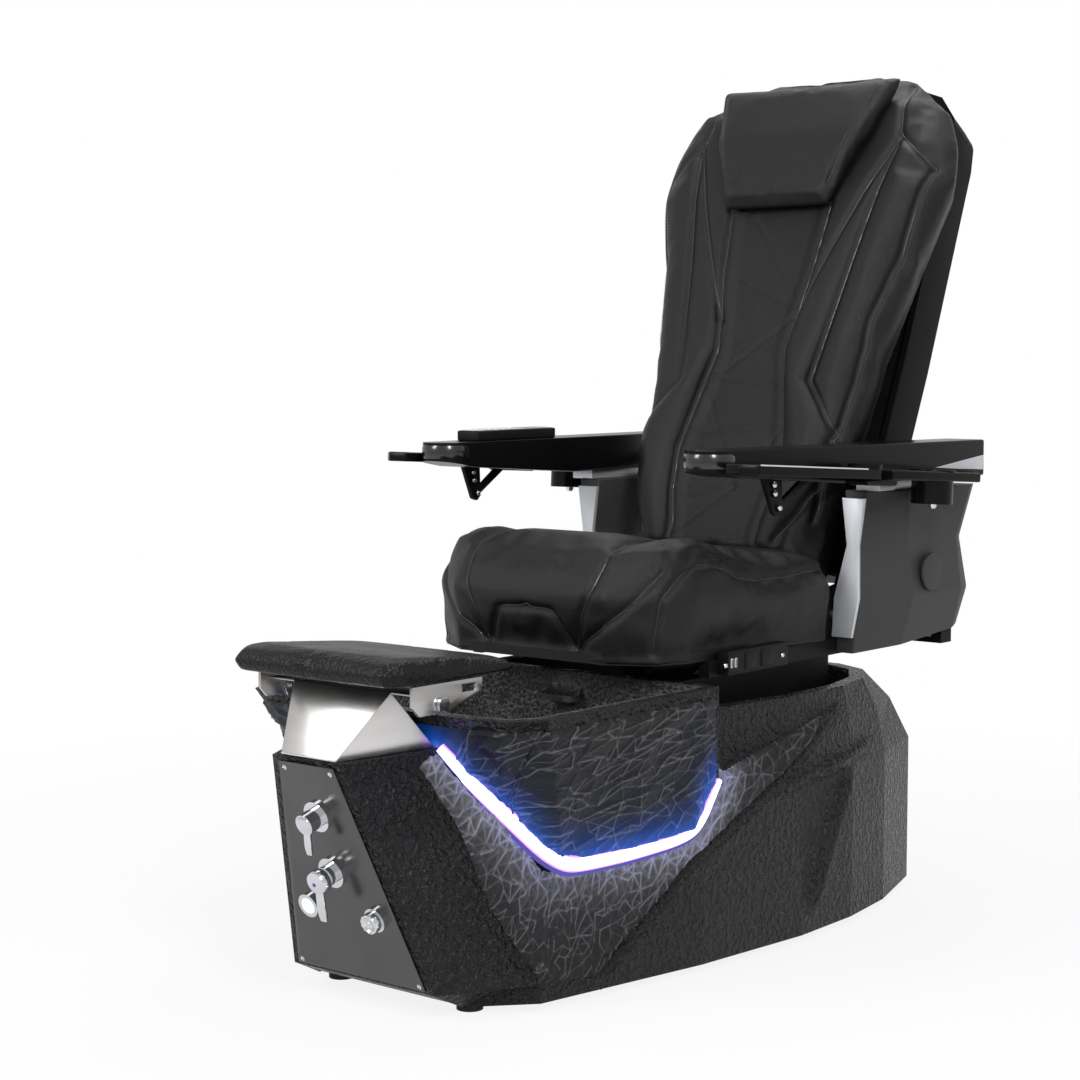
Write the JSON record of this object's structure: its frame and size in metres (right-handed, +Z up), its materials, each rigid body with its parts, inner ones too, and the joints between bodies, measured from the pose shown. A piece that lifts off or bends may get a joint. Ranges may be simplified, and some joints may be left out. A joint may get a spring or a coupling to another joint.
{
  "type": "pedicure chair",
  "caption": "Reclining massage pedicure chair on a boat-shaped base with foot basin, tilting footrest, lift-up arms with swing trays, sliding seat and valves.",
  "frame": {"origin": "centre of the overall box, on the floor", "axes": "+X to the sitter's left, +Y to the rear of the chair, +Z up"},
  "size_m": [0.8752, 1.5722, 1.4775],
  "materials": {
    "black_leather": "grained upholstery leather",
    "shell_plastic": "moulded, pebble grain",
    "basin_resin": "moulded, relief pattern outside",
    "grey_plastic": "moulded, fine grain",
    "black_plastic": "satin",
    "arm_plastic": "satin",
    "pad_foam": "self-skinned foam, pebbled",
    "black_steel": "powder coat",
    "stainless": "polished sheet",
    "chrome": "polished",
    "silver_trim": "satin silver",
    "light_diffuser": "lit diffuser",
    "white_lens": "lit button face",
    "motor_black": "enamel",
    "rubber_feet": "moulded",
    "brass": "turned"
  },
  "bodies": {
    "base": {"base_shell": "shell_plastic", "foot_basin": "basin_resin", "basin_skirt": "shell_plastic", "base_frame": "black_steel", "levelling_feet": "rubber_feet", "deck_plate": "black_steel", "slide_rails": "stainless", "control_box": "black_plastic", "slide_drive": "motor_black", "control_panel": "stainless", "panel_screws": "chrome", "valve_bodies": "chrome", "panel_bezels": "chrome", "jet_cover": "black_plastic", "jet_motor": "motor_black", "fill_spout": "chrome", "drain_fitting": "chrome", "service_plate": "stainless", "water_inlets": "brass", "power_inlet": "black_plastic", "footrest_bracket": "stainless", "footrest_pivots": "chrome", "light_strips": "light_diffuser"},
    "mixer": {"mixer_lever": "chrome"},
    "diverter": {"diverter_lever": "chrome"},
    "button": {"jet_button": "white_lens"},
    "knob": {"drain_knob": "chrome"},
    "impeller": {"jet_impeller": "black_plastic"},
    "footrest": {"footrest_links": "black_steel", "footrest_pad": "pad_foam"},
    "seat": {"carriage_frame": "black_steel", "slide_shoes": "black_plastic", "slide_rod": "stainless", "seat_pan": "black_plastic", "seat_cushion": "black_leather", "back_pivots": "stainless", "side_panels": "grey_plastic", "side_trims": "silver_trim", "panel_caps": "silver_trim", "arm_posts": "black_plastic", "arm_pins": "stainless", "outlet_box": "black_plastic", "recline_drive": "motor_black"},
    "recliner_rod": {"recline_rod": "stainless"},
    "back": {"back_frame": "black_steel", "back_cushion": "black_leather", "head_pillow": "black_leather", "back_shell": "black_plastic", "massage_rails": "stainless"},
    "massager": {"massage_carriage": "black_steel"},
    "rollers": {"massage_rollers": "rubber_feet"},
    "left_arm": {"arm_left": "arm_plastic", "cup_left": "black_plastic", "brace_left": "black_steel"},
    "right_arm": {"arm_right": "arm_plastic", "cup_right": "black_plastic", "brace_right": "black_steel", "remote_handset": "black_plastic"},
    "left_tray": {"tray_left": "arm_plastic"},
    "right_tray": {"tray_right": "arm_plastic"}
  },
  "joints": [
    {"name": "seat_slide", "type": "slide", "parent": "base", "child": "seat", "axis": [0, 1, 0], "range_m": [-0.1, 0.04]},
    {"name": "back_recline", "type": "hinge", "parent": "seat", "child": "back", "pos_m": [0, 0.26858, 0.52], "axis": [-1, 0, 0], "range_deg": [-10, 25]},
    {"name": "recline_rod_slide", "type": "slide", "parent": "seat", "child": "recliner_rod", "axis": [0, -1, 0], "range_m": [-0.0175, 0.0425]},
    {"name": "massage_travel", "type": "slide", "parent": "back", "child": "massager", "axis": [0, 0.3665, 0.9304], "range_m": [-0.25, 0.34]},
    {"name": "massage_roll", "type": "hinge", "parent": "massager", "child": "rollers", "pos_m": [0, 0.4902, 0.9271], "axis": [1, 0, 0], "continuous": true},
    {"name": "left_arm_lift", "type": "hinge", "parent": "seat", "child": "left_arm", "pos_m": [0.328, 0.52658, 0.775], "axis": [-1, 0, 0], "range_deg": [0, 50]},
    {"name": "right_arm_lift", "type": "hinge", "parent": "seat", "child": "right_arm", "pos_m": [-0.328, 0.52658, 0.775], "axis": [-1, 0, 0], "range_deg": [0, 50]},
    {"name": "left_tray_swing", "type": "hinge", "parent": "left_arm", "child": "left_tray", "pos_m": [0.38126, 0.13265, 0.77929], "axis": [0.0044, 0.0565, 0.9984], "range_deg": [0, 90]},
    {"name": "right_tray_swing", "type": "hinge", "parent": "right_arm", "child": "right_tray", "pos_m": [-0.38126, 0.13265, 0.77929], "axis": [0.0044, -0.0565, -0.9984], "range_deg": [0, 90]},
    {"name": "footrest_tilt", "type": "hinge", "parent": "base", "child": "footrest", "pos_m": [0, -0.64143, 0.466], "axis": [1, 0, 0], "range_deg": [-20, 8]},
    {"name": "mixer_turn", "type": "hinge", "parent": "base", "child": "mixer", "pos_m": [0, -0.70099, 0.21328], "axis": [0, -0.9494, -0.314], "range_deg": [-45, 45]},
    {"name": "diverter_turn", "type": "hinge", "parent": "base", "child": "diverter", "pos_m": [0, -0.72988, 0.30062], "axis": [0, -0.9494, -0.314], "range_deg": [-60, 60]},
    {"name": "jet_button_press", "type": "slide", "parent": "base", "child": "button", "axis": [0, 0.9494, 0.314], "range_m": [0, 0.003], "stiffness_N_per_m": 700},
    {"name": "drain_knob_turn", "type": "hinge", "parent": "base", "child": "knob", "pos_m": [0.068, -0.68027, 0.15062], "axis": [0, -0.9494, -0.314], "range_deg": [0, 90]},
    {"name": "jet_spin", "type": "hinge", "parent": "base", "child": "impeller", "pos_m": [0, -0.16243, 0.315], "axis": [0, 1, 0], "continuous": true}
  ],
  "couplings": [
    {"joint": "recline_rod_slide", "follows": "back_recline", "m_per_rad": 0.093385}
  ]
}
